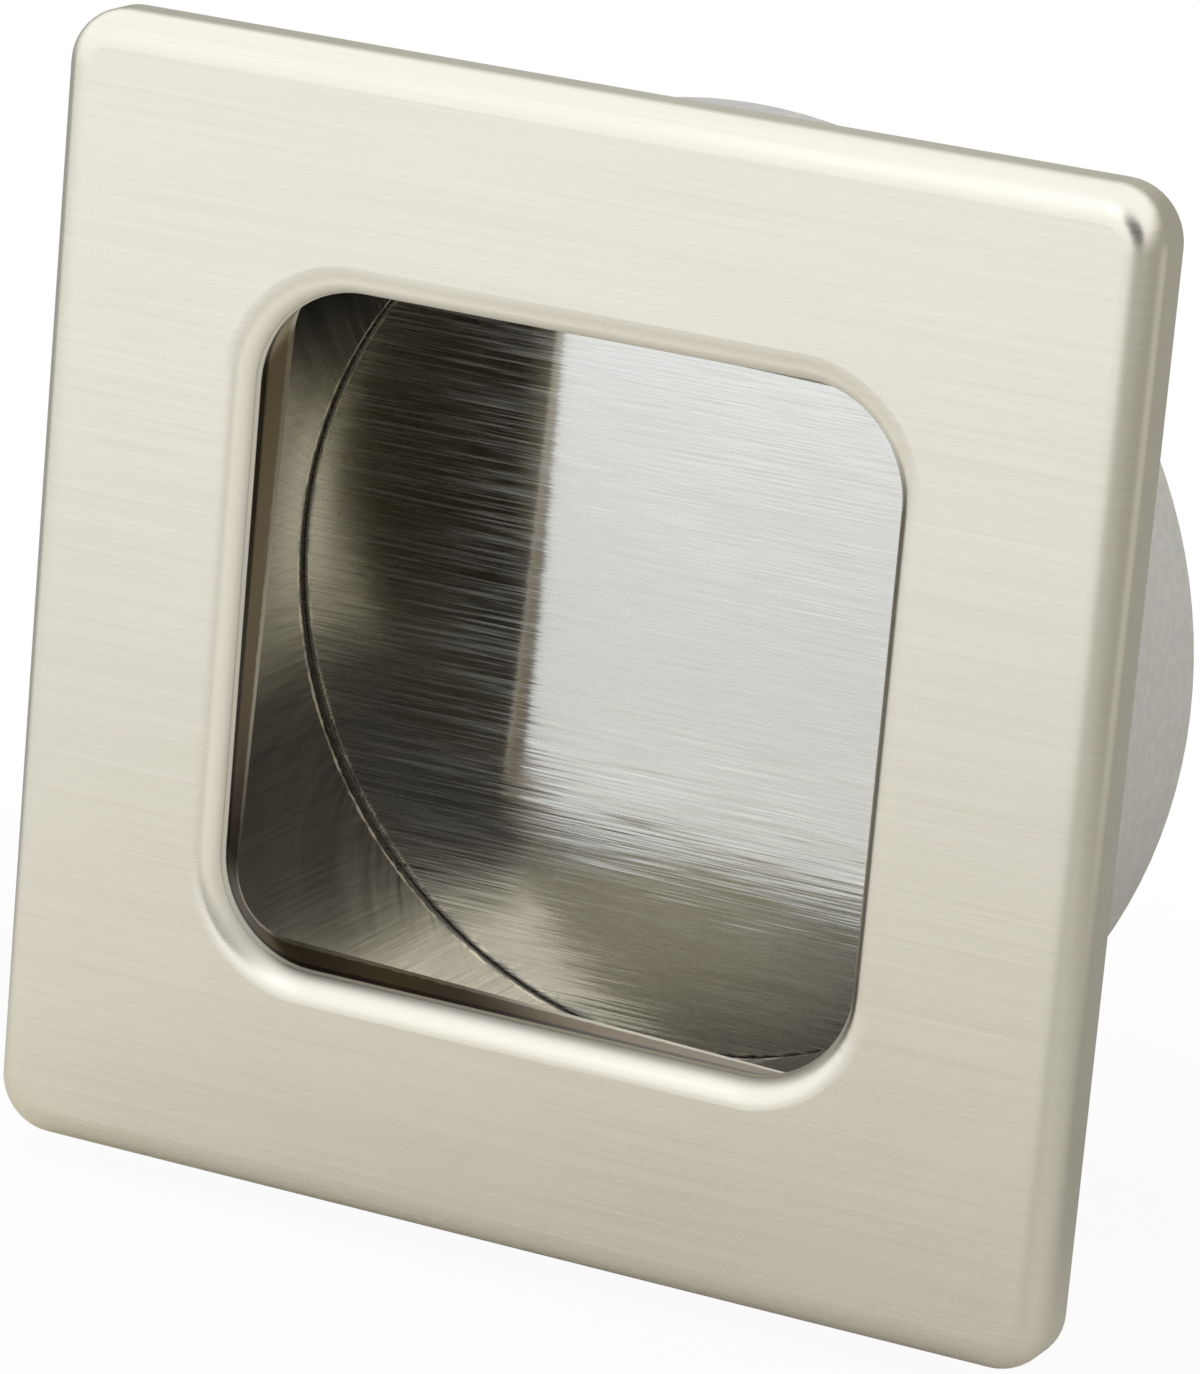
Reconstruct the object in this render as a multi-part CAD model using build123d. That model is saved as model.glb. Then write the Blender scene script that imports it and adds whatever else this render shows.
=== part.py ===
from build123d import *
import math
import os

os.makedirs("parts", exist_ok=True)

# Sizes are in millimetres. +Z is up, the face looks along -Y and Y = 0 is the back of the plate.

# Round hole drilled in the door
DOOR_HOLE_DIAMETER = 50.0
HOLE_CLEARANCE = 0.15
PLATE_OVERLAP = 2.5

# Square plate
PLATE_THICKNESS = 3.0
FACE_EDGE_ROUND = 1.65
PLATE_CORNER_EXTRA = 1.1

# Lip around the square opening: the face rolls in to an edge, and a wall goes on to the plate's back
LIP_ROLL_RADIUS = 1.4
LIP_ROLL_ANGLE = 75.0
LIP_SLOPE_DEPTH = 0.2
LIP_CORNER_RADIUS = 5.0

# Back end of the lip's wall, a little smaller than its edge and turned clockwise as seen from the front
MOUTH_INSET = 0.2
MOUTH_TURN = 1.8
MOUTH_CORNER_RADIUS = 3.0
LEDGE_FLAT = 0.22

# Round cup behind the plate
CUP_DEPTH = 17.3
COLLAR_WALL = 3.1
COLLAR_LEAD_IN = 0.3

# Flat disc that closes the cup from behind
DISC_THICKNESS = 0.8
DISC_SINK = 0.1
SEAT_WIDTH = 1.0
SEAT_CLEARANCE = 0.05
SEAT_EDGE_ROUND = 0.3

# The plate covers the hole all round, and its lip is a roll and a wall.
PLATE_SIDE = DOOR_HOLE_DIAMETER + 2 * PLATE_OVERLAP
PLATE_CORNER_RADIUS = FACE_EDGE_ROUND + PLATE_CORNER_EXTRA
ROLL_DEPTH = LIP_ROLL_RADIUS * (1 - math.cos(math.radians(LIP_ROLL_ANGLE))) + LIP_SLOPE_DEPTH
LIP_WALL = PLATE_THICKNESS - ROLL_DEPTH

# The collar enters the hole and the cup is bored inside it.
COLLAR_RADIUS = DOOR_HOLE_DIAMETER / 2 - HOLE_CLEARANCE
CUP_RADIUS = COLLAR_RADIUS - COLLAR_WALL

# The mouth is the largest rounded square whose corners stop just inside the cup's wall.
CORNER_CENTRE = (CUP_RADIUS - LEDGE_FLAT - MOUTH_CORNER_RADIUS) / math.sqrt(2)
MOUTH_SIDE = 2 * (CORNER_CENTRE + MOUTH_CORNER_RADIUS)
LIP_SIDE = MOUTH_SIDE + 2 * MOUTH_INSET

# The disc rests on a shoulder, a little below the collar's end.
FLOOR_Y = CUP_DEPTH - PLATE_THICKNESS
COLLAR_LENGTH = FLOOR_Y + DISC_THICKNESS + DISC_SINK
SEAT_RADIUS = CUP_RADIUS + SEAT_WIDTH
DISC_RADIUS = SEAT_RADIUS - SEAT_CLEARANCE


def flat_face(solid, facing):
    """Return the largest flat face that looks along the given direction."""
    flat = solid.faces().filter_by(GeomType.PLANE)
    return flat.filter_by(lambda face: face.normal_at().dot(facing) > 0.999).sort_by(SortBy.AREA)[-1]


def rounded_square(height, side, corner_radius, turn=0.0):
    """Return a rounded square at a height above the plate's back, turned clockwise by some degrees."""
    return Plane.XZ.offset(height) * Rot(0, 0, -turn) * RectangleRounded(side, side, corner_radius)


def make_plate():
    """Make the square plate with its rounded face edge and the opening's rolled lip."""
    front = Vector(0, -1, 0)
    plate = extrude(rounded_square(0.0, PLATE_SIDE, PLATE_CORNER_RADIUS), PLATE_THICKNESS)
    plate = fillet(flat_face(plate, front).outer_wire().edges(), FACE_EDGE_ROUND)
    flare = ROLL_DEPTH / math.tan(math.radians(LIP_ROLL_ANGLE))
    funnel = rounded_square(PLATE_THICKNESS, LIP_SIDE + 2 * flare, LIP_CORNER_RADIUS + flare)
    edge = rounded_square(LIP_WALL, LIP_SIDE, LIP_CORNER_RADIUS)
    mouth = rounded_square(0.0, MOUTH_SIDE, MOUTH_CORNER_RADIUS, MOUTH_TURN)
    plate -= loft([edge, funnel], ruled=True)
    plate -= loft([mouth, edge], ruled=True)
    return fillet(flat_face(plate, front).inner_wires()[0].edges(), LIP_ROLL_RADIUS)


def make_collar():
    """Make the round collar, with the cup's wall, the disc's seat and the lead-in, as one turned ring."""
    profile = Polyline(
        (CUP_RADIUS, 0.0),
        (COLLAR_RADIUS, 0.0),
        (COLLAR_RADIUS, COLLAR_LENGTH - COLLAR_LEAD_IN),
        (COLLAR_RADIUS - COLLAR_LEAD_IN, COLLAR_LENGTH),
        (SEAT_RADIUS, COLLAR_LENGTH),
        (SEAT_RADIUS, FLOOR_Y),
        (CUP_RADIUS, FLOOR_Y),
        close=True,
    )
    section = make_face(profile)
    rim = section.vertices().sort_by_distance((CUP_RADIUS, FLOOR_Y, 0.0))[0]
    return revolve(fillet(rim, SEAT_EDGE_ROUND), Axis.Y)


def make_disc():
    """Make the flat disc on its seat."""
    seat = Plane(origin=(0, FLOOR_Y, 0), x_dir=(1, 0, 0), z_dir=(0, 1, 0))
    return extrude(seat * Circle(DISC_RADIUS), DISC_THICKNESS)


pull_body = make_plate() + make_collar()
back_disc = make_disc()

export_step(pull_body, "parts/pull_body.step")
export_step(back_disc, "parts/back_disc.step")
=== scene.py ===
"""Looks of a square flush pull: brushed plate, rolled lip, round finger cup and brushed back disc."""

import logging
import math
from dataclasses import dataclass, field
from enum import Enum
from typing import Any, Iterable

import bpy
from mathutils import Euler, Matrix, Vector


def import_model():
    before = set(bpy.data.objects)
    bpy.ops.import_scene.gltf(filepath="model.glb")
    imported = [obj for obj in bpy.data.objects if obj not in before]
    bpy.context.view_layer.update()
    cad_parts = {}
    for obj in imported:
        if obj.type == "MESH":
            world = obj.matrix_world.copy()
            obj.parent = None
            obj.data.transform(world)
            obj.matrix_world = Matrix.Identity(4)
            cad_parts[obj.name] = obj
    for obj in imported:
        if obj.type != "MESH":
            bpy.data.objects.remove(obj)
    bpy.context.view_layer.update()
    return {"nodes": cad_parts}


LOG = logging.getLogger("flush_pull")
MM = 0.001
Colour = tuple[float, float, float]
Triple = tuple[float, float, float]
Span = tuple[float, float]
WHITE: Colour = (1.0, 1.0, 1.0)

# Middle of a noise's values
NOISE_MIDDLE = 0.5
# Turn of the anisotropy that lays the brushing along X
SIDEWAYS = 0.25
# How strongly the brushing's lines show as colour, and over which values
LINE_CONTRAST = 2.0
LINE_SPAN: Span = (-0.6, 0.9)


class SeenBy(Enum):
    """Kinds of ray that the studio can tell apart."""

    CAMERA = "Is Camera Ray"
    GLOSSY = "Is Glossy Ray"
    TRANSMISSION = "Is Transmission Ray"


class Node(Enum):
    """CAD nodes of the pull."""

    BODY = "pull_body"
    DISC = "back_disc"


class Sock:
    """A node socket that takes part in Python arithmetic."""

    def __init__(self, tree: "Shader", socket: bpy.types.NodeSocket) -> None:
        """Keep the socket and the tree that it belongs to."""
        self.tree = tree
        self.socket = socket

    def _math(self, operation: str, *values: Any) -> "Sock":
        """Add one Math node with these operands, numbers or sockets, and return its result."""
        made = self.tree.node("ShaderNodeMath", {"operation": operation}, dict(enumerate(values)))
        return Sock(self.tree, made.outputs[0])

    def __add__(self, other: Any) -> "Sock":
        """Return self + other."""
        return self._math("ADD", self, other)

    def __radd__(self, other: Any) -> "Sock":
        """Return other + self."""
        return self._math("ADD", other, self)

    def __sub__(self, other: Any) -> "Sock":
        """Return self - other."""
        return self._math("SUBTRACT", self, other)

    def __rsub__(self, other: Any) -> "Sock":
        """Return other - self."""
        return self._math("SUBTRACT", other, self)

    def __mul__(self, other: Any) -> "Sock":
        """Return self * other."""
        return self._math("MULTIPLY", self, other)

    def __rmul__(self, other: Any) -> "Sock":
        """Return other * self."""
        return self._math("MULTIPLY", other, self)

    def __pow__(self, other: Any) -> "Sock":
        """Return self to the power of other."""
        return self._math("POWER", self, other)

    def largest(self, other: Any) -> "Sock":
        """Return the larger of self and other."""
        return self._math("MAXIMUM", self, other)

    def clamped(self) -> "Sock":
        """Return self held between 0 and 1."""
        made = self.tree.node("ShaderNodeClamp", None, {"Value": self})
        return Sock(self.tree, made.outputs[0])

    def step(self, low: float, high: float) -> "Sock":
        """Make a smooth step.

        Args:
            low: Where it is still 0.
            high: Where it reaches 1.

        Returns:
            The step.
        """
        made = self.tree.node(
            "ShaderNodeMapRange",
            {"interpolation_type": "SMOOTHSTEP"},
            {"Value": self, "From Min": low, "From Max": high, "To Min": 0.0, "To Max": 1.0},
        )
        return Sock(self.tree, made.outputs["Result"])

    def over(self, span: Span, start: float = 0.0) -> "Sock":
        """Return a smooth step over a span in millimetres, counted from a start in metres."""
        return self.step(start + span[0] * MM, start + span[1] * MM)


@dataclass(frozen=True)
class Place:
    """Coordinates of a point on an object.

    Attributes:
        where: All three as one vector.
        x: Metres to the right.
        y: Metres into the door.
        z: Metres up.
    """

    where: Sock
    x: Sock
    y: Sock
    z: Sock


@dataclass(frozen=True)
class Grain:
    """How a noise is grained.

    Attributes:
        per_metre: Grains in a metre along X, Y and Z.
        detail: The noise's octaves.
        offset: A shift that sets this noise apart from the others.
    """

    per_metre: Triple
    detail: float
    offset: float


class Shader:
    """A node tree with one way to add nodes."""

    def __init__(self, tree: bpy.types.NodeTree) -> None:
        """Empty the tree and keep it."""
        self.tree = tree
        tree.nodes.clear()

    def node(
        self, kind: str, settings: dict[str, Any] | None = None, inputs: dict[Any, Any] | None = None
    ) -> Any:
        """Add a node.

        Args:
            kind: The node's type.
            settings: Attributes of the node, set first.
            inputs: Values or links by input name, identifier or number.

        Returns:
            The node.
        """
        made = self.tree.nodes.new(kind)
        for name, value in (settings or {}).items():
            setattr(made, name, value)
        for key, value in (inputs or {}).items():
            self._feed(self._input(made, key), value)
        return made

    def _input(self, node: Any, key: Any) -> bpy.types.NodeSocket:
        """Find an input by number, identifier or name.

        Args:
            node: The node.
            key: The input's number, identifier or name.

        Returns:
            The input.
        """
        if isinstance(key, int):
            return node.inputs[key]
        for socket in node.inputs:
            if socket.identifier == key:
                return socket
        return node.inputs[key]

    def _feed(self, target: bpy.types.NodeSocket, value: Any) -> None:
        """Link a socket or set a value.

        Args:
            target: The input.
            value: What it gets: a socket, a number or a colour.
        """
        if isinstance(value, Sock):
            self.tree.links.new(value.socket, target)
        elif isinstance(value, bpy.types.NodeSocket):
            self.tree.links.new(value, target)
        else:
            target.default_value = value

    def vector(self, operation: str, *values: Any) -> Any:
        """Add one Vector Math node with these operands and return it."""
        return self.node("ShaderNodeVectorMath", {"operation": operation}, dict(enumerate(values)))

    def mix(self, share: Any, first: Any, second: Any) -> Sock:
        """Mix two colours.

        Args:
            share: How much of the second colour shows, from 0 to 1.
            first: A colour or a socket.
            second: A colour or a socket.

        Returns:
            The mixed colour.
        """
        made = self.node(
            "ShaderNodeMix",
            {"data_type": "RGBA"},
            {"Factor_Float": share, "A_Color": rgba(first), "B_Color": rgba(second)},
        )
        return Sock(self, next(s for s in made.outputs if s.identifier == "Result_Color"))

    def place(self) -> Place:
        """Read the object's own coordinates.

        Returns:
            The coordinates.
        """
        where = self.node("ShaderNodeTexCoord").outputs["Object"]
        split = self.node("ShaderNodeSeparateXYZ", None, {0: where})
        return Place(Sock(self, where), *(Sock(self, s) for s in split.outputs))

    def noise(self, where: Sock, grain: Grain) -> Sock:
        """Make noise with its own grain along each axis.

        Args:
            where: The coordinates.
            grain: How the noise is grained.

        Returns:
            A value around one half.
        """
        mapped = self.node(
            "ShaderNodeMapping",
            None,
            {"Vector": where, "Location": (grain.offset,) * 3, "Scale": grain.per_metre},
        )
        made = self.node(
            "ShaderNodeTexNoise",
            None,
            {"Vector": mapped.outputs[0], "Scale": 1.0, "Detail": grain.detail},
        )
        return Sock(self, made.outputs[0])

    def tilted(self, amount: Sock) -> Sock:
        """Tip the surface up or down, as brushing lines do.

        Args:
            amount: Slope of the lines, about 0.

        Returns:
            The tipped normal.
        """
        normal = self.node("ShaderNodeNewGeometry").outputs["Normal"]
        lift = self.node("ShaderNodeCombineXYZ", None, {"Z": amount}).outputs[0]
        total = self.vector("ADD", normal, lift).outputs[0]
        return Sock(self, self.vector("NORMALIZE", total).outputs[0])

    def metal(self, inputs: dict[str, Any]) -> bpy.types.NodeSocket:
        """Add a Principled surface with these inputs and return its socket."""
        return self.node("ShaderNodeBsdfPrincipled", None, inputs).outputs[0]

    def layered(
        self, share: Sock, first: bpy.types.NodeSocket, second: bpy.types.NodeSocket
    ) -> bpy.types.NodeSocket:
        """Mix two surfaces by the second one's share and return the result."""
        return self.node("ShaderNodeMixShader", None, {0: share, 1: first, 2: second}).outputs[0]

    def show(self, surface: bpy.types.NodeSocket) -> None:
        """Make a surface the material's own."""
        self.node("ShaderNodeOutputMaterial", None, {"Surface": surface})


def rgba(colour: Any) -> Any:
    """Give a plain colour its alpha and leave a socket as it is."""
    return (*colour, 1.0) if isinstance(colour, tuple) else colour


def new_material(name: str) -> tuple[bpy.types.Material, Shader]:
    """Make a material with an empty node tree.

    Args:
        name: The material's name.

    Returns:
        The material and its tree.
    """
    material = bpy.data.materials.new(name)
    material.use_nodes = True
    return material, Shader(material.node_tree)


@dataclass(frozen=True)
class ZoneSpans:
    """Where the casting's zones fade in or end, in millimetres.

    Attributes:
        wall: Outward from the middle of the collar's wall.
        back: Past the plate's back, for all that lies behind it.
        lip: Past the lip's edge, for the lip's wall.
        crease_end: Past the lip's edge, where the painted shade on that wall ends.
        wear_and_highlight: Past the plate's back, for the painted highlight at the wall's end.
        worn_ragged: How far grain moves that end's limit.
        roll: Past the face, for the roll.
        edge: Past the lip's edge, for the roll's last strip.
        edge_end: Past the lip's edge, where that strip ends.
        painted_light_roll: Past the face, for the part of the roll where light is painted.
        side: From the middle to the left or upward, for the painted light on the lip's left and top.
        painted_shade_corner: Up from the middle, where the painted shade on the roll's lower left part
            ends.
        lit: Up from the middle, for the painted light on the lip's left wall.
        ledge: Past the plate's back, for the ledge that it makes in the cup.
        ledge_end: Past the plate's back, where the ledge ends.
        ledge_painted_light: Up from the middle, where the painted light on the ledge's lower part ends.
        mouth: From the middle to any side, where the painted highlight along the mouth ends.
        near_disc: Past the cup's end, for the painted light on the wall near the disc.
        near_disc_low: Up from the middle, where that painted light starts.
        near_disc_high: Up from the middle, where it ends.
        joint_highlight: Past the cup's end, for the painted highlight along the joint.
        groove: Past the cup's end, for the joint.
        joint_ragged: How far grain moves the limits of both.
    """

    wall: Span = (-0.2, 0.2)
    back: Span = (-0.05, 0.05)
    lip: Span = (-0.05, 0.02)
    crease_end: Span = (0.25, 0.45)
    wear_and_highlight: Span = (-0.40, -0.25)
    worn_ragged: float = 0.2
    roll: Span = (0.1, 0.6)
    edge: Span = (-0.40, -0.20)
    edge_end: Span = (0.0, 0.05)
    painted_light_roll: Span = (0.01, 0.25)
    side: Span = (12.0, 15.0)
    painted_shade_corner: Span = (-17.0, -11.0)
    lit: Span = (-5.0, 8.0)
    ledge: Span = (-0.03, -0.01)
    ledge_end: Span = (0.01, 0.03)
    ledge_painted_light: Span = (-10.0, -4.0)
    mouth: Span = (15.8, 17.8)
    near_disc: Span = (-4.0, -1.0)
    near_disc_low: Span = (-7.0, 1.0)
    near_disc_high: Span = (6.0, 11.0)
    joint_highlight: Span = (-0.72, -0.62)
    groove: Span = (-0.48, -0.40)
    joint_ragged: float = 0.25


class Zones:
    """Zones of the casting's surface, each 1 within the zone and 0 elsewhere.

    Attributes:
        roll: The roll from the face to the lip's edge, and the lip's wall.
        edge: The roll's last strip, along the lip's edge.
        painted_light_roll: The lip's left and top, where light is painted and the metal is made dull.
        painted_shade_corner: The lower left part of that, where shade is painted.
        lip: The lip's wall.
        lit: The left side of the lip, from the middle upward, where light is painted.
        crease_painted_shade: The start of the lip's wall, where shade is painted.
        wear_and_highlight: The end of the lip's wall, where a highlight is painted.
        ledge: The plate's back inside the cup, where shade is painted.
        ledge_painted_light: The ledge's lower part and the strip along the mouth, where light is painted.
        cup: The cup's wall.
        near_disc: The part of it near the disc, at middle height, where light is painted.
        joint_highlight: The last strip of it, along the joint, where a highlight is painted.
        groove: The joint with the disc.
        outside: The collar, and by half the plate's back.
        unbrushed: All that the brushing leaves out.
    """

    def __init__(self, at: Place, body: "Casting", spans: ZoneSpans, grain: Sock) -> None:
        """Work out the zones.

        Args:
            at: The coordinates.
            body: The casting, for its sizes.
            spans: Where the zones fade in or end.
            grain: Noise about 0 that makes some limits ragged.
        """
        x, y, z = at.x, at.y, at.z
        wall = (body.cup_radius + body.collar_radius) / 2
        inside = 1 - ((x * x + z * z) ** 0.5).over(spans.wall, wall)
        behind = y.over(spans.back)
        before = 1 - behind
        left = (0 - x).over(spans.side)

        past_edge = y.over(spans.edge_end, body.lip_edge)
        self.roll = inside * y.over(spans.roll, body.face) * before
        self.edge = inside * y.over(spans.edge, body.lip_edge) * (1 - past_edge)
        # Painted light goes on the roll's left and top.
        painted_light_sides = left.largest(z.over(spans.side))
        self.painted_light_roll = painted_light_sides * inside * y.over(spans.painted_light_roll, body.face) * before
        # Painted shade on the roll's lower left part.
        self.painted_shade_corner = self.painted_light_roll * (1 - z.over(spans.painted_shade_corner))

        self.lip = inside * y.over(spans.lip, body.lip_edge) * before
        # Painted light on the lip's wall, on its upper left.
        self.lit = left * z.over(spans.lit)
        # Painted shade just behind the lip's edge.
        self.crease_painted_shade = self.lip * (1 - y.over(spans.crease_end, body.lip_edge))
        # Painted highlight at the end of the lip's wall.
        self.wear_and_highlight = self.lip * (y + grain * (spans.worn_ragged * MM)).over(spans.wear_and_highlight)

        # Painted shade on the plate's back inside the cup.
        self.ledge = inside * y.over(spans.ledge) * (1 - y.over(spans.ledge_end))
        mouth_start, mouth_end = ((limit * MM) ** 2 for limit in spans.mouth)
        near_mouth = 1 - (x * x).largest(z * z).step(mouth_start, mouth_end)
        # Painted light on the ledge's lower part and a painted highlight along the mouth.
        self.ledge_painted_light = (1 - z.over(spans.ledge_painted_light)).largest(near_mouth)

        self.cup = inside * behind
        middle = z.over(spans.near_disc_low) * (1 - z.over(spans.near_disc_high))
        # Painted light on the cup's wall near the disc, at middle height.
        self.near_disc = self.cup * y.over(spans.near_disc, body.cup_end) * middle
        ragged = y + grain * (spans.joint_ragged * MM)
        # Painted highlight along the joint.
        self.joint_highlight = self.cup * ragged.over(spans.joint_highlight, body.cup_end)
        self.groove = self.cup * ragged.over(spans.groove, body.cup_end)

        self.outside = (1 - inside) * behind
        self.unbrushed = (self.lip + self.cup + self.outside).largest(self.edge)


@dataclass(frozen=True)
class Skin:
    """What the layers of the casting's finish share.

    Attributes:
        shader: The tree to add to.
        at: The coordinates.
        zones: The zones.
        cloud: Soft clouds, around one half.
        grain: Fine grain, about 0.
    """

    shader: Shader
    at: Place
    zones: Zones
    cloud: Sock
    grain: Sock

    def noise(self, grain: Grain) -> Sock:
        """Make noise on the casting."""
        return self.shader.noise(self.at.where, grain)


@dataclass(frozen=True)
class NickelTints:
    """Colours of the casting's finish.

    Attributes:
        face: The brushed face.
        streak: The brushing's lightest lines.
        painted_light_roll: Painted light on the roll's left and top, pale, where the roll is also made
            dull.
        painted_shade_corner: Painted shade on the lower left part of that roll.
        crease_painted_shade: Painted shade just behind the roll's edge.
        lip: The lip's unbrushed wall, darkened as painted shade.
        side: Painted light on that wall's upper left.
        wear_and_highlight: A paler colour for the collar's scuffs and the roll's last strip, and a painted
            highlight at the end of the lip's wall.
        cup: The cup's wall.
        bright: Painted light on the cup's wall where it nears the disc.
        joint_highlight: The broken painted highlight along the joint.
        ledge: Painted shade on the plate's back inside the cup; the same dark colour also serves for the
            drawn lines and stains.
        ledge_painted_light: Painted light on its lower part and a painted highlight along the mouth.
        collar: The collar and the plate's back.
        collar_shade: The darker spots in that cast surface.
        groove: The joint with the disc.
    """

    face: Colour = (0.68, 0.66, 0.59)
    streak: Colour = (0.74, 0.725, 0.66)
    painted_light_roll: Colour = (0.84, 0.815, 0.725)
    painted_shade_corner: Colour = (0.50, 0.48, 0.41)
    crease_painted_shade: Colour = (0.07, 0.055, 0.04)
    lip: Colour = (0.23, 0.175, 0.115)
    side: Colour = (0.40, 0.335, 0.225)
    wear_and_highlight: Colour = (0.62, 0.58, 0.48)
    cup: Colour = (0.43, 0.395, 0.295)
    bright: Colour = (0.82, 0.77, 0.60)
    joint_highlight: Colour = (0.95, 0.84, 0.60)
    ledge: Colour = (0.15, 0.125, 0.09)
    ledge_painted_light: Colour = (0.80, 0.76, 0.67)
    collar: Colour = (0.51, 0.51, 0.50)
    collar_shade: Colour = (0.46, 0.46, 0.455)
    groove: Colour = (0.10, 0.09, 0.07)


@dataclass(frozen=True)
class NickelGrains:
    """Noises of the casting's finish.

    Attributes:
        cloud: Soft clouds all over.
        pits: Fine grain of the unbrushed surface.
        fine: The brushing's fine lines.
        broad: The brushing's broad lines.
        scratch: Single scratches among them.
        drawn: Lines along the cup's wall.
        broken: Gaps in the painted highlight along the joint.
        cast: Mottling of the collar.
        scuff: Scuffs along the collar.
    """

    cloud: Grain = Grain((120.0, 120.0, 120.0), 2.0, 8.1)
    pits: Grain = Grain((2500.0, 2500.0, 2500.0), 2.0, 2.2)
    fine: Grain = Grain((70.0, 70.0, 9000.0), 3.0, 0.0)
    broad: Grain = Grain((30.0, 30.0, 2600.0), 2.0, 3.7)
    scratch: Grain = Grain((26.0, 26.0, 4200.0), 0.0, 5.3)
    drawn: Grain = Grain((7000.0, 150.0, 7000.0), 2.0, 9.4)
    broken: Grain = Grain((900.0, 900.0, 900.0), 2.0, 7.7)
    cast: Grain = Grain((1900.0, 1900.0, 1900.0), 3.0, 6.6)
    scuff: Grain = Grain((2200.0, 110.0, 2200.0), 1.0, 1.9)


@dataclass(frozen=True)
class SatinNickel:
    """Satin nickel on a casting: brushed sideways on the face, plain inside and dull outside.

    Attributes:
        tints: Its colours.
        grains: Its noises.
        spans: Where its zones fade in or end.
        fine_share: Share of the fine lines in the brushing.
        scratch_weight: Weight of the scratches against the lines.
        scratch_span: Noise values over which a scratch shows.
        cloud_weight: Weight of the clouds against the lines.
        line_slope: Slope of the brushing's lines.
        roughness: Roughness of the brushed face.
        streak_roughness: How much the lines change it.
        cloud_roughness: How much the clouds change it.
        roll_roughness: How much rougher the roll is.
        anisotropy: How much more the brushing blurs upright than sideways.
        lip_roughness: Roughness of the lip's wall.
        edge_roughness: Roughness of the lip's edge.
        cup_roughness: Roughness of the cup's wall.
        collar_roughness: Roughness of the collar.
        grain_roughness: How much grain changes the unbrushed surface's roughness.
        cast_roughness: How much the mottling changes the collar's roughness.
        painted_light_roll_dullness: How much less metallic the roll is where light is painted on it.
        edge_dullness: The same for its edge.
        joint_highlight_dullness: The same for the painted highlight along the joint.
        collar_dullness: The same for the collar.
        drawn_contrast: How strongly the lines along the cup's wall show.
        drawn_shade: How much they darken the wall as a whole.
        cup_painted_light_share: How much of the painted light shows near the disc.
        broken_span: Noise values over which the painted highlight along the joint shows.
        cast_span: Noise values over which the collar darkens.
        scuff_span: Noise values over which a scuff shows.
        scuff_share: How much of a scuff's colour shows.
        stain_limit: How strong a cloud is before it darkens the unbrushed surface.
        stain_share: How much it darkens it.
        grain_depth: Depth of the unbrushed surface's grain.
        cast_depth: How many times deeper the collar's mottling is.
    """

    tints: NickelTints = NickelTints()
    grains: NickelGrains = NickelGrains()
    spans: ZoneSpans = ZoneSpans()
    fine_share: float = 0.75
    scratch_weight: float = 0.2
    scratch_span: Span = (0.76, 0.84)
    cloud_weight: float = 0.4
    line_slope: float = 0.035
    roughness: float = 0.28
    streak_roughness: float = 0.08
    cloud_roughness: float = 0.05
    roll_roughness: float = 0.14
    anisotropy: float = 0.6
    lip_roughness: float = 0.35
    edge_roughness: float = 0.6
    cup_roughness: float = 0.16
    collar_roughness: float = 0.5
    grain_roughness: float = 0.05
    cast_roughness: float = 0.3
    painted_light_roll_dullness: float = 0.75
    edge_dullness: float = 0.8
    joint_highlight_dullness: float = 0.7
    collar_dullness: float = 0.8
    drawn_contrast: float = 1.2
    drawn_shade: float = 0.25
    cup_painted_light_share: float = 0.55
    broken_span: Span = (0.42, 0.58)
    cast_span: Span = (0.32, 0.68)
    scuff_span: Span = (0.60, 0.74)
    scuff_share: float = 0.9
    stain_limit: float = 0.4
    stain_share: float = 0.2
    grain_depth: float = 0.002 * MM
    cast_depth: float = 4.0

    def material(self, body: "Casting") -> bpy.types.Material:
        """Make the material.

        Args:
            body: The casting, for its sizes.

        Returns:
            The material.
        """
        material, shader = new_material("satin_nickel_finish")
        at = shader.place()
        cloud = shader.noise(at.where, self.grains.cloud)
        grain = shader.noise(at.where, self.grains.pits) - NOISE_MIDDLE
        zones = Zones(at, body, self.spans, grain)
        skin = Skin(shader, at, zones, cloud, grain)
        shader.show(shader.layered(zones.unbrushed, self._brushed(skin), self._unbrushed(skin)))
        return material

    def _brushed(self, skin: Skin) -> bpy.types.NodeSocket:
        """Make the brushed surface of the face, the outer edges and the roll.

        Args:
            skin: What the layers share.

        Returns:
            The surface.
        """
        shader, zones, tints = skin.shader, skin.zones, self.tints
        fine = skin.noise(self.grains.fine)
        broad = skin.noise(self.grains.broad)
        streak = fine * self.fine_share + broad * (1 - self.fine_share) - NOISE_MIDDLE
        scratch = skin.noise(self.grains.scratch).step(*self.scratch_span) * self.scratch_weight
        cloud = skin.cloud - NOISE_MIDDLE
        lines = (streak * LINE_CONTRAST + scratch + cloud * self.cloud_weight).step(*LINE_SPAN)
        colour = shader.mix(lines, tints.face, tints.streak)
        # Painted light on the roll's left and top.
        colour = shader.mix(zones.painted_light_roll, colour, tints.painted_light_roll)
        # Painted shade on the roll's lower left part.
        colour = shader.mix(zones.painted_shade_corner, colour, tints.painted_shade_corner)
        roughness = streak * self.streak_roughness + cloud * self.cloud_roughness
        return shader.metal(
            {
                "Base Color": colour,
                "Metallic": 1 - zones.painted_light_roll * self.painted_light_roll_dullness,
                "Roughness": roughness + zones.roll * self.roll_roughness + self.roughness,
                "Anisotropic": self.anisotropy,
                "Anisotropic Rotation": SIDEWAYS,
                "Normal": shader.tilted((streak + scratch) * self.line_slope),
            }
        )

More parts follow.
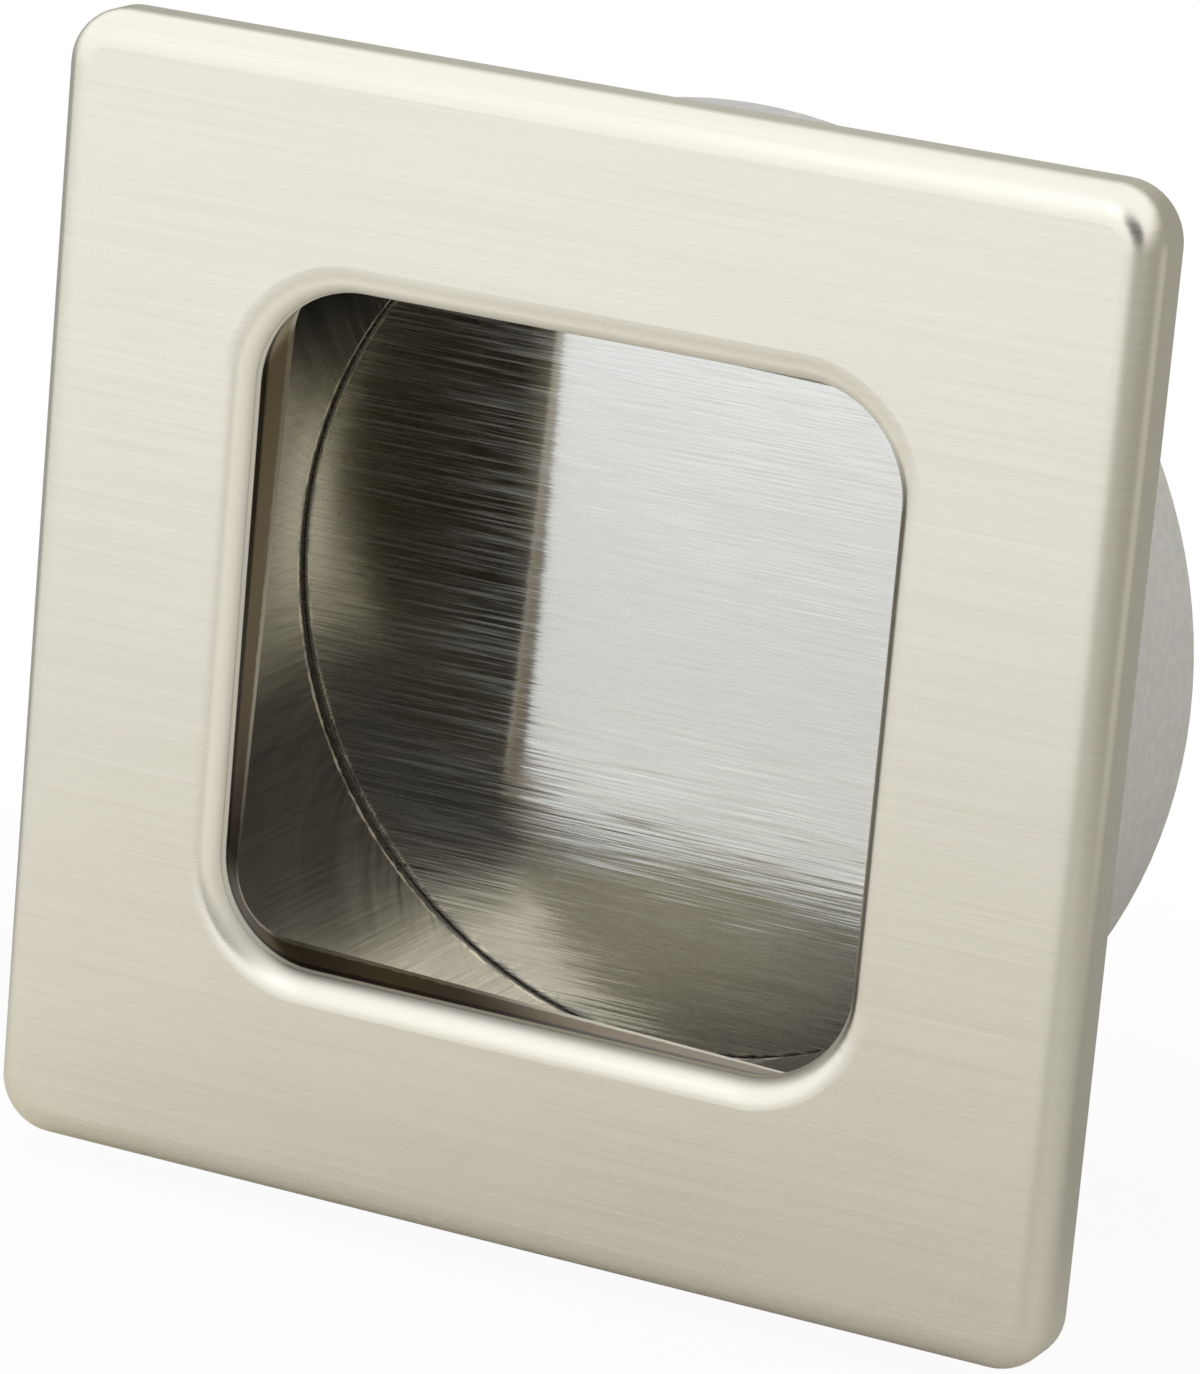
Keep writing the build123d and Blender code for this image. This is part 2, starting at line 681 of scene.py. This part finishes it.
    def _unbrushed(self, skin: Skin) -> bpy.types.NodeSocket:
        """Make the unbrushed surface of the lip's wall, the cup and the collar.

        Args:
            skin: What the layers share.

        Returns:
            The surface.
        """
        shader, zones, grain = skin.shader, skin.zones, skin.grain
        cast = skin.noise(self.grains.cast)
        colour = self._lip_colour(skin, self._wall_colour(skin))
        colour = self._joint_colour(skin, colour)
        colour = shader.mix(zones.outside, colour, self._collar_colour(skin, cast))
        stain = (skin.cloud - self.stain_limit) * self.stain_share
        roughness = (
            zones.lip * self.lip_roughness
            + zones.cup * self.cup_roughness
            + zones.outside * self.collar_roughness
        )
        roughness = roughness.largest(zones.edge * self.edge_roughness)
        mottled = zones.outside * (cast - NOISE_MIDDLE) * self.cast_roughness
        dullness = (
            zones.outside * self.collar_dullness
            + zones.joint_highlight * (1 - zones.groove) * self.joint_highlight_dullness
            + zones.edge * zones.painted_light_roll * self.edge_dullness
        )
        height = grain + zones.outside * cast * self.cast_depth
        bump = shader.node(
            "ShaderNodeBump", None, {"Strength": 1.0, "Distance": self.grain_depth, "Height": height}
        )
        return shader.metal(
            {
                "Base Color": shader.mix(stain, colour, self.tints.ledge),
                "Metallic": 1 - dullness,
                "Roughness": roughness + grain * self.grain_roughness + mottled,
                "Normal": bump.outputs[0],
            }
        )

    def _wall_colour(self, skin: Skin) -> Sock:
        """Colour the cup's wall: drawn lines, with painted light near the disc.

        Args:
            skin: What the layers share.

        Returns:
            The colour.
        """
        drawn = skin.noise(self.grains.drawn) - NOISE_MIDDLE
        shade = drawn * self.drawn_contrast + self.drawn_shade
        colour = skin.shader.mix(shade, self.tints.cup, self.tints.ledge)
        # Painted light on the cup's wall near the disc.
        return skin.shader.mix(skin.zones.near_disc * self.cup_painted_light_share, colour, self.tints.bright)

    def _lip_colour(self, skin: Skin, colour: Sock) -> Sock:
        """Colour the lip's wall, the roll's last strip and the ledge, with painted shade, light and
        highlights.

        Args:
            skin: What the layers share.
            colour: The colour elsewhere.

        Returns:
            The colour.
        """
        shader, zones, tints = skin.shader, skin.zones, self.tints
        layers = (
            # Painted shade on the lip's wall, with painted light on its upper left.
            (zones.lip, shader.mix(zones.lit, tints.lip, tints.side)),
            # Painted highlight at the end of the lip's wall, and the paler roll's last strip.
            (zones.wear_and_highlight.largest(zones.edge), tints.wear_and_highlight),
            # Painted light on the roll's last strip, on its left and top.
            (zones.edge * zones.painted_light_roll, tints.painted_light_roll),
            # Painted shade on the roll's last strip, at its lower left.
            (zones.edge * zones.painted_shade_corner, tints.painted_shade_corner),
            # Painted shade just behind the lip's edge.
            (zones.crease_painted_shade, tints.crease_painted_shade),
            # Painted shade on the ledge, with painted light on its lower part and a painted highlight
            # along the mouth.
            (zones.ledge, shader.mix(zones.ledge_painted_light, tints.ledge, tints.ledge_painted_light)),
        )
        for share, tint in layers:
            colour = shader.mix(share, colour, tint)
        return colour

    def _joint_colour(self, skin: Skin, colour: Sock) -> Sock:
        """Colour the joint with the disc and the broken painted highlight along it.

        Args:
            skin: What the layers share.
            colour: The colour elsewhere.

        Returns:
            The colour.
        """
        broken = skin.noise(self.grains.broken).step(*self.broken_span)
        # Painted highlight along the joint, broken by noise.
        colour = skin.shader.mix(skin.zones.joint_highlight * broken, colour, self.tints.joint_highlight)
        return skin.shader.mix(skin.zones.groove, colour, self.tints.groove)

    def _collar_colour(self, skin: Skin, cast: Sock) -> Sock:
        """Colour the collar: mottled, with faint scuffs.

        Args:
            skin: What the layers share.
            cast: The mottling, around one half.

        Returns:
            The colour.
        """
        scuff = skin.noise(self.grains.scuff).step(*self.scuff_span)
        colour = skin.shader.mix(cast.step(*self.cast_span), self.tints.collar, self.tints.collar_shade)
        return skin.shader.mix(scuff * skin.cloud * self.scuff_share, colour, self.tints.wear_and_highlight)


@dataclass(frozen=True)
class BrushedDisc:
    """Cool sheet metal with dense, short, sideways brushing.

    Attributes:
        tint: Colour of the metal.
        streak_tint: Colour of the brushing's lightest lines.
        hair: Noise of the hairlines, too fine to be told apart.
        fine: Noise of the fine lines.
        broad: Noise of the broad lines.
        deep: Noise of the deeper lines on the disc's lower part.
        fine_share: Share of the fine lines in the brushing.
        line_slope: Slope of the fine and broad lines.
        hair_slope: Slope of the hairlines.
        deep_slope: Slope of the deeper lines.
        hollow: Slope of the disc's lower part, where the sheet is a little hollow.
        low_end: Up from the middle, where that lower part ends, in millimetres.
        roughness: Roughness of the brushing.
        streak_roughness: How much the lines change it.
        soft_roughness: Roughness of the lines that were brushed dull.
        anisotropy: How much more the brushing blurs upright than sideways.
        dull_share: Share of the dull lines.
        dull_streaks: How much the lines change that share.
        dull_hairs: How much the hairlines change it.
    """

    tint: Colour = (0.68, 0.695, 0.685)
    streak_tint: Colour = (0.735, 0.755, 0.745)
    hair: Grain = Grain((300.0, 300.0, 45000.0), 1.0, 4.4)
    fine: Grain = Grain((220.0, 220.0, 14000.0), 2.0, 1.3)
    broad: Grain = Grain((120.0, 120.0, 6500.0), 2.0, 6.1)
    deep: Grain = Grain((160.0, 160.0, 11000.0), 1.0, 2.9)
    fine_share: float = 0.55
    line_slope: float = 0.12
    hair_slope: float = 0.20
    deep_slope: float = 0.24
    hollow: float = 0.03
    low_end: Span = (-10.0, -2.0)
    roughness: float = 0.1
    streak_roughness: float = 0.04
    soft_roughness: float = 0.36
    anisotropy: float = 1.0
    dull_share: float = 0.10
    dull_streaks: float = 2.4
    dull_hairs: float = 0.7

    def material(self) -> bpy.types.Material:
        """Make the material.

        Returns:
            The material.
        """
        material, shader = new_material("brushed_disc_finish")
        at = shader.place()
        hair = shader.noise(at.where, self.hair) - NOISE_MIDDLE
        fine = shader.noise(at.where, self.fine)
        broad = shader.noise(at.where, self.broad)
        streak = fine * self.fine_share + broad * (1 - self.fine_share) - NOISE_MIDDLE
        deep = shader.noise(at.where, self.deep) - NOISE_MIDDLE
        low = 1 - at.z.over(self.low_end)
        slope = streak * self.line_slope + hair * self.hair_slope
        slope = slope + low * (deep * self.deep_slope + self.hollow)
        lines = (streak * LINE_CONTRAST).step(*LINE_SPAN)
        colour = shader.mix(lines, self.tint, self.streak_tint)
        sharp = shader.metal(
            {
                "Base Color": colour,
                "Metallic": 1.0,
                "Roughness": streak * self.streak_roughness + self.roughness,
                "Anisotropic": self.anisotropy,
                "Anisotropic Rotation": SIDEWAYS,
                "Normal": shader.tilted(slope),
            }
        )
        soft = shader.metal({"Base Color": colour, "Metallic": 1.0, "Roughness": self.soft_roughness})
        dull = (streak * self.dull_streaks + hair * self.dull_hairs + self.dull_share).clamped()
        shader.show(shader.layered(dull, sharp, soft))
        return material


@dataclass
class Casting:
    """The plate and collar, one casting. Sizes are in metres, and the plate's back is at Y = 0.

    Attributes:
        face: Where along Y the plate's face lies.
        lip_edge: Where along Y the lip's roll ends and its wall starts.
        cup_radius: Radius of the cup's wall.
        cup_end: Where along Y the cup's wall meets the disc.
        collar_radius: Radius of the collar.
        finish: The casting's finish.
    """

    face: float = -3.0 * MM
    lip_edge: float = -1.76 * MM
    cup_radius: float = 21.75 * MM
    cup_end: float = 14.3 * MM
    collar_radius: float = 24.85 * MM
    finish: SatinNickel = field(default_factory=SatinNickel)

    def dress(self, nodes: dict[str, bpy.types.Object]) -> bpy.types.Object:
        """Give the CAD casting its finish.

        Args:
            nodes: The CAD nodes by name.

        Returns:
            The casting's object.
        """
        body = nodes[Node.BODY.value]
        body.material_slots[0].material = self.finish.material(self)
        return body


@dataclass
class CupFloor:
    """The disc that closes the cup.

    Attributes:
        finish: The disc's finish.
    """

    finish: BrushedDisc = field(default_factory=BrushedDisc)

    def dress(self, nodes: dict[str, bpy.types.Object]) -> bpy.types.Object:
        """Give the CAD disc its finish.

        Args:
            nodes: The CAD nodes by name.

        Returns:
            The disc's object.
        """
        disc = nodes[Node.DISC.value]
        disc.material_slots[0].material = self.finish.material()
        return disc


@dataclass(frozen=True)
class Floor:
    """A pale floor right below the pull, in metres.

    Attributes:
        drop: How far it lies below the pull's middle.
        size: How far it goes to the left and the back.
        right: How far it goes to the right.
        front: How far it goes to the front.
        tint: Its colour.
        near_painted_warmth: Painted warm light next to the pull, as if reflected from its metal.
        right_painted_shade: Painted shade on its right, away from the light.
        rear_painted_shadow: Painted shadow behind the pull, away from the light.
        near_end: Out from the pull, where the floor next to it ends.
        right_start: To the right, where the painted shade on the right starts.
        rear_start: To the back, where the painted shadow behind the pull starts.
        near_white: How white the camera sees it next to the pull, the rest being shaded.
    """

    drop: float = 0.0285
    size: float = 1.5
    right: float = 0.10
    front: float = 0.15
    tint: Colour = (0.84, 0.84, 0.83)
    near_painted_warmth: Colour = (0.90, 0.86, 0.74)
    right_painted_shade: Colour = (0.60, 0.59, 0.55)
    rear_painted_shadow: Colour = (0.36, 0.355, 0.33)
    near_end: Span = (0.03, 0.09)
    right_start: Span = (-0.10, 0.10)
    rear_start: Span = (-0.01, 0.03)
    near_white: float = 0.94

    def material(self) -> bpy.types.Material:
        """Make the floor's material: lit, with painted warm light and painted shade by place, for metal;
        white for the camera.

        Returns:
            The material.
        """
        material, shader = new_material("pale_floor")
        at = shader.place()
        far = ((at.x * at.x + at.y * at.y) ** 0.5).step(*self.near_end)
        camera, _ = seen(shader)
        # Painted warm light next to the pull, painted shade on the right and painted shadow behind it.
        tint = shader.mix(far, self.near_painted_warmth, self.tint)
        tint = shader.mix(at.x.step(*self.right_start), tint, self.right_painted_shade)
        tint = shader.mix(at.y.step(*self.rear_start), tint, self.rear_painted_shadow)
        lit = shader.node("ShaderNodeBsdfDiffuse", None, {"Color": tint}).outputs[0]
        white = shader.node("ShaderNodeEmission", None, {"Color": rgba(WHITE), "Strength": 1.0}).outputs[0]
        share = camera * (self.near_white + far * (1 - self.near_white))
        shader.show(shader.layered(share, lit, white))
        return material

    def build(self) -> bpy.types.Object:
        """Make the floor.

        Returns:
            The floor's object.
        """
        mesh = bpy.data.meshes.new("floor")
        corners = [
            (-self.size, -self.front),
            (self.right, -self.front),
            (self.right, self.size),
            (-self.size, self.size),
        ]
        mesh.from_pydata([(x, y, -self.drop) for x, y in corners], [], [(0, 1, 2, 3)])
        mesh.materials.append(self.material())
        floor = bpy.data.objects.new("floor", mesh)
        bpy.context.scene.collection.objects.link(floor)
        return floor


@dataclass(frozen=True)
class Surround:
    """What surrounds the pull: white for the camera, a tent and grey for metal, plain fill for the rest.

    Directions go from the pull, and spans are cosines of the angle to a direction.

    Attributes:
        fill: Strength for diffuse light.
        grey: Strength away from the tent, as metal mirrors it.
        grey_tint: Colour away from the tent.
        tent_way: Direction of the tent's middle.
        tent_span: Where the tent fades in.
        tent_light: How much brighter than the grey the tent is.
        tent_tint: Colour of the tent.
        edge_way: Direction of a weak light behind the pull on the right.
        edge_span: Where that light fades in.
        edge_light: How much brighter than the grey it is.
        dark_way: Direction of the dark camera that the metal mirrors.
        dark_span: Where the dark fades in.
        dark_depth: How much of the light it takes.
    """

    fill: float = 1.1
    grey: float = 0.43
    grey_tint: Colour = (1.0, 0.97, 0.85)
    tent_way: Triple = (-0.25, -0.433, 0.866)
    tent_span: Span = (-0.1, 0.45)
    tent_light: float = 0.90
    tent_tint: Colour = (1.0, 0.995, 1.0)
    edge_way: Triple = (0.875, 0.408, -0.259)
    edge_span: Span = (0.95, 0.985)
    edge_light: float = 0.22
    dark_way: Triple = (0.396, -0.868, 0.301)
    dark_span: Span = (0.906, 0.970)
    dark_depth: float = 0.94

    def mirrored(self, shader: Shader) -> tuple[Sock, Sock]:
        """Make what metal mirrors: the tent, the grey, the weak light and the dark camera.

        Args:
            shader: The tree to add to.

        Returns:
            Its colour and strength.
        """
        way = shader.node("ShaderNodeTexCoord").outputs["Generated"]
        unit = shader.vector("NORMALIZE", way).outputs[0]
        tent, edge, dark = (
            Sock(shader, shader.vector("DOT_PRODUCT", unit, toward).outputs["Value"]).step(*span)
            for toward, span in (
                (self.tent_way, self.tent_span),
                (self.edge_way, self.edge_span),
                (self.dark_way, self.dark_span),
            )
        )
        strength = self.grey + tent * self.tent_light + edge * self.edge_light
        return shader.mix(tent, self.grey_tint, self.tent_tint), strength * (1 - dark * self.dark_depth)

    def build(self) -> bpy.types.World:
        """Make the surround the scene's own.

        Returns:
            The scene's world.
        """
        world = bpy.data.worlds.new("studio_surround")
        world.use_nodes = True
        shader = Shader(world.node_tree)
        camera, either = seen(shader)
        colour, strength = self.mirrored(shader)
        strength = camera + (1 - camera) * strength
        shown = strength * either + (1 - either) * self.fill
        colour = shader.mix(camera, colour, WHITE)
        back = shader.node("ShaderNodeBackground", None, {"Color": colour, "Strength": shown})
        shader.node("ShaderNodeOutputWorld", None, {"Surface": back.outputs[0]})
        bpy.context.scene.world = world
        return world


@dataclass(frozen=True)
class SoftLamp:
    """A square soft lamp that faces the pull.

    Attributes:
        way: Direction from the pull to the lamp.
        distance: How far away it hangs, in metres.
        size: Its side, in metres.
        power: Its power in watts.
    """

    way: Triple = (-0.11, -0.78, 0.616)
    distance: float = 0.8
    size: float = 0.4
    power: float = 0.24

    def build(self) -> bpy.types.Object:
        """Hang the lamp.

        Returns:
            The lamp's object.
        """
        data = bpy.data.lights.new("soft_lamp", "AREA")
        data.shape = "SQUARE"
        data.size = self.size
        data.energy = self.power
        lamp = bpy.data.objects.new("soft_lamp", data)
        lamp.location = Vector(self.way).normalized() * self.distance
        lamp.rotation_euler = (-lamp.location).to_track_quat("-Z", "Y").to_euler()
        bpy.context.scene.collection.objects.link(lamp)
        return lamp


@dataclass(frozen=True)
class PhotoCamera:
    """The photograph's view, for a frame of 1200 by 1374 pixels.

    Attributes:
        place: Where the camera stands, in metres.
        turn: Its rotation about X, Y and Z, in degrees.
        lens: Its focal length, in millimetres.
        sensor: The long side of its picture, in millimetres.
        near: The nearest that it sees, in metres.
    """

    place: Triple = (0.13195, -0.282568, 0.084786)
    turn: Triple = (74.6566, -4.925, 26.131)
    lens: float = 183.867
    sensor: float = 36.0
    near: float = 0.01

    def build(self) -> bpy.types.Object:
        """Make the camera the scene's own.

        Returns:
            The camera's object.
        """
        data = bpy.data.cameras.new("photo_camera")
        data.sensor_width = self.sensor
        data.lens = self.lens
        data.clip_start = self.near
        camera = bpy.data.objects.new("photo_camera", data)
        camera.location = self.place
        camera.rotation_euler = Euler([math.radians(angle) for angle in self.turn], "XYZ")
        bpy.context.scene.collection.objects.link(camera)
        bpy.context.scene.camera = camera
        return camera


def seen(shader: Shader) -> tuple[Sock, Sock]:
    """Tell the rays that show the surround.

    Args:
        shader: The tree to add to.

    Returns:
        1 for a camera ray, and 1 for a camera, glossy or transmission ray.
    """
    path = shader.node("ShaderNodeLightPath")
    rays = {kind: Sock(shader, path.outputs[kind.value]) for kind in SeenBy}
    either = rays[SeenBy.CAMERA].largest(rays[SeenBy.GLOSSY]).largest(rays[SeenBy.TRANSMISSION])
    return rays[SeenBy.CAMERA], either


def main() -> None:
    """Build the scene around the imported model."""
    logging.basicConfig(level=logging.INFO)
    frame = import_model()
    bpy.context.scene.view_settings.view_transform = "Standard"
    for assembly in (Casting(), CupFloor()):
        piece = assembly.dress(frame["nodes"])
        LOG.info("dressed %s with %s", piece.name, piece.material_slots[0].material.name)
    for setting in (Surround(), Floor(), SoftLamp(), PhotoCamera()):
        LOG.info("built %s", setting.build().name)


if __name__ == "__main__":
    main()
